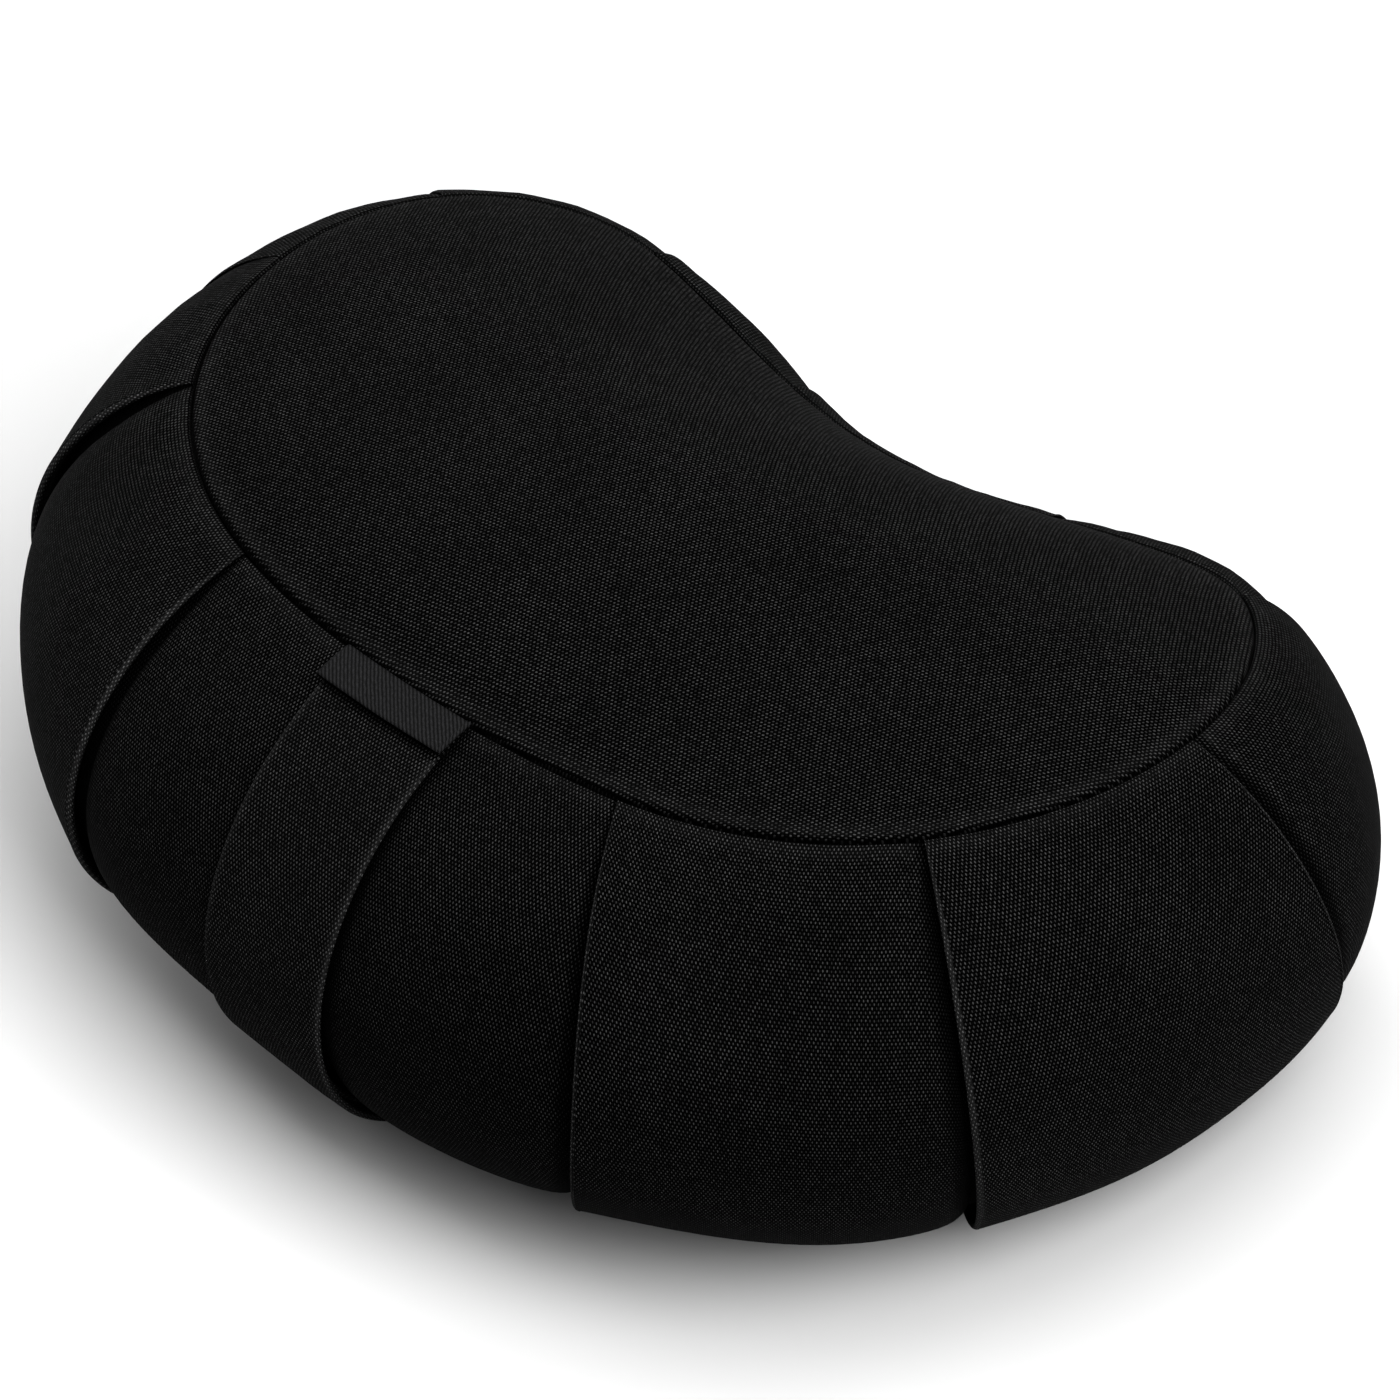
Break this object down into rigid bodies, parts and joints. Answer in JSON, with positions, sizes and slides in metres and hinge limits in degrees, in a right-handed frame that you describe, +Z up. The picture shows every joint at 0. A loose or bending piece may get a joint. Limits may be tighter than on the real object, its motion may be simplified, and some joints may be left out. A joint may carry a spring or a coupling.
{
  "type": "crescent zafu meditation cushion",
  "caption": "Crescent-shaped filled floor cushion with a domed top panel, a knife-pleated side wall and a carry strap down its front.",
  "frame": {"origin": "middle of the cushion's floor plan, on the floor", "axes": "+X along the crescent, +Y towards the waist at the back, +Z up; the convex front with the strap faces -Y"},
  "size_m": [0.434, 0.2926, 0.165],
  "materials": {
    "canvas": "black plain-weave cotton canvas, matt with a faint sheen on the threads",
    "woven_tape": "dark grey satin-woven tape"
  },
  "bodies": {
    "root": {"filled_body": "canvas", "top_panel": "canvas", "bottom_panel": "canvas", "carry_strap": "canvas", "label_tape": "woven_tape"}
  },
  "joints": []
}
